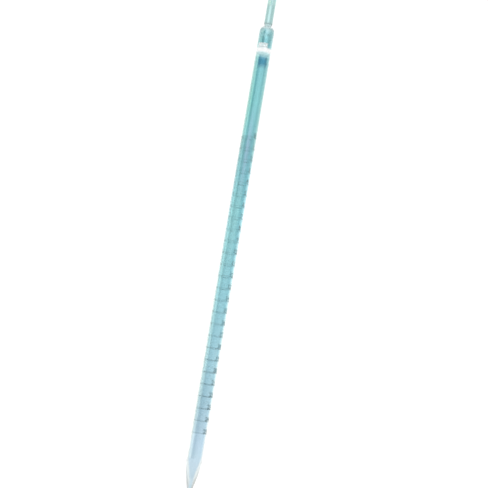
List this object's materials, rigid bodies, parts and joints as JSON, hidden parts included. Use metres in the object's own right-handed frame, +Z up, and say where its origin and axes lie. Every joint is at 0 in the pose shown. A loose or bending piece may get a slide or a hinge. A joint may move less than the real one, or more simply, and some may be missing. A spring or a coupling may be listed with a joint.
{
  "type": "graduated pipette",
  "caption": "Clear glass graduated pipette: narrow suction tube, shouldered measuring barrel with fired scale lines and a white band, and a drawn-down delivery jet.",
  "frame": {"origin": "centre of the delivery jet's outlet, the lowest point of the pipette", "axes": "+Z up along the pipette's axis from the jet to the suction end, -Y is the side that is read, +X to its right"},
  "size_m": [0.0138, 0.0138, 0.45],
  "materials": {
    "glass": "clear, pale blue-green, fire-polished",
    "white_enamel": "satin fired enamel",
    "graduation_enamel": "satin fired enamel, dark grey-green"
  },
  "bodies": {
    "root": {"suction_tube": "glass", "barrel_shoulder": "glass", "barrel": "glass", "delivery_jet": "glass", "colour_code_band": "white_enamel", "blank_panel": "white_enamel", "graduation_00_ml": "graduation_enamel", "graduation_01_ml": "graduation_enamel", "graduation_02_ml": "graduation_enamel", "graduation_03_ml": "graduation_enamel", "graduation_04_ml": "graduation_enamel", "graduation_05_ml": "graduation_enamel", "graduation_06_ml": "graduation_enamel", "graduation_07_ml": "graduation_enamel", "graduation_08_ml": "graduation_enamel", "graduation_09_ml": "graduation_enamel", "graduation_10_ml": "graduation_enamel", "graduation_11_ml": "graduation_enamel", "graduation_12_ml": "graduation_enamel", "graduation_13_ml": "graduation_enamel", "graduation_14_ml": "graduation_enamel", "graduation_15_ml": "graduation_enamel", "graduation_16_ml": "graduation_enamel", "graduation_17_ml": "graduation_enamel", "graduation_18_ml": "graduation_enamel", "graduation_19_ml": "graduation_enamel", "graduation_20_ml": "graduation_enamel", "graduation_21_ml": "graduation_enamel", "graduation_22_ml": "graduation_enamel", "graduation_23_ml": "graduation_enamel", "graduation_24_ml": "graduation_enamel", "graduation_25_ml": "graduation_enamel"}
  },
  "joints": []
}
